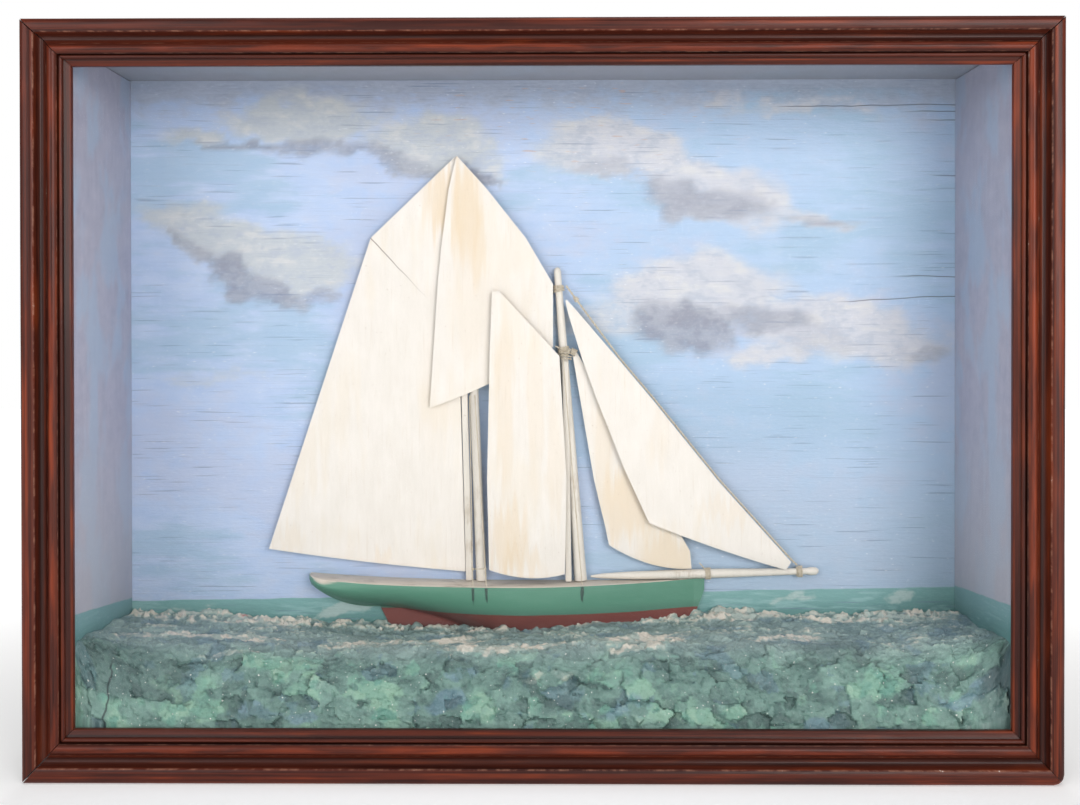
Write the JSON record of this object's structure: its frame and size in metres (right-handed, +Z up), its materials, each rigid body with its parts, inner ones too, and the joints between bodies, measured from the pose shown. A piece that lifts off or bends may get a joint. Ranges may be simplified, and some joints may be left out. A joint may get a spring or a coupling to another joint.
{
  "type": "sailing ship shadowbox",
  "caption": "Half model of a schooner under sail on a modelled sea, in a deep glazed case with a painted sky and a mitred dark wood moulding.",
  "frame": {"origin": "centre of the footprint of the case and its moulding, on the surface it stands on", "axes": "+X runs to the right along the case, towards the ship's bow; +Y runs back, away from the glass; +Z is up"},
  "size_m": [0.83, 0.167, 0.61],
  "materials": {
    "mahogany": "dark red-brown varnished hardwood, satin, worn pale on the arrises",
    "glass": "clear old window glass",
    "painted_case": "lavender-grey brushed oil paint inside, dark stained softwood outside",
    "sky_paint": "pale blue sky with grey clouds in oil paint on cracked wood, bare aged softwood behind",
    "sea_putty": "modelled putty painted in greens and greys with cream foam, thick and shiny in places",
    "hull_paint": "satin green topsides, red-brown bottom and grey-beige deck on carved wood",
    "spar_paint": "off-white painted dowel, yellowed",
    "sail_paint": "cream paint on thin carved wood, with tan stains",
    "thread": "waxed off-white thread, aged"
  },
  "bodies": {
    "root": {"moulding_top": "mahogany", "moulding_bottom": "mahogany", "moulding_left": "mahogany", "moulding_right": "mahogany", "glass_pane": "glass", "case_bottom": "painted_case", "case_top": "painted_case", "case_left": "painted_case", "case_right": "painted_case", "back_board": "sky_paint", "modelled_sea": "sea_putty", "hull": "hull_paint", "main_mast": "spar_paint", "fore_mast": "spar_paint", "bowsprit": "spar_paint", "mainsail": "sail_paint", "fisherman": "sail_paint", "foresail": "sail_paint", "staysail": "sail_paint", "jib": "sail_paint", "mainsail_luff_strip": "sail_paint", "foresail_luff_strip": "sail_paint", "main_shrouds": "thread", "fore_shroud": "thread", "headstay": "thread", "masthead_lashing": "thread", "hounds_lashing": "thread", "stem_lashing": "thread", "bowsprit_tip_lashing": "thread"}
  },
  "joints": []
}
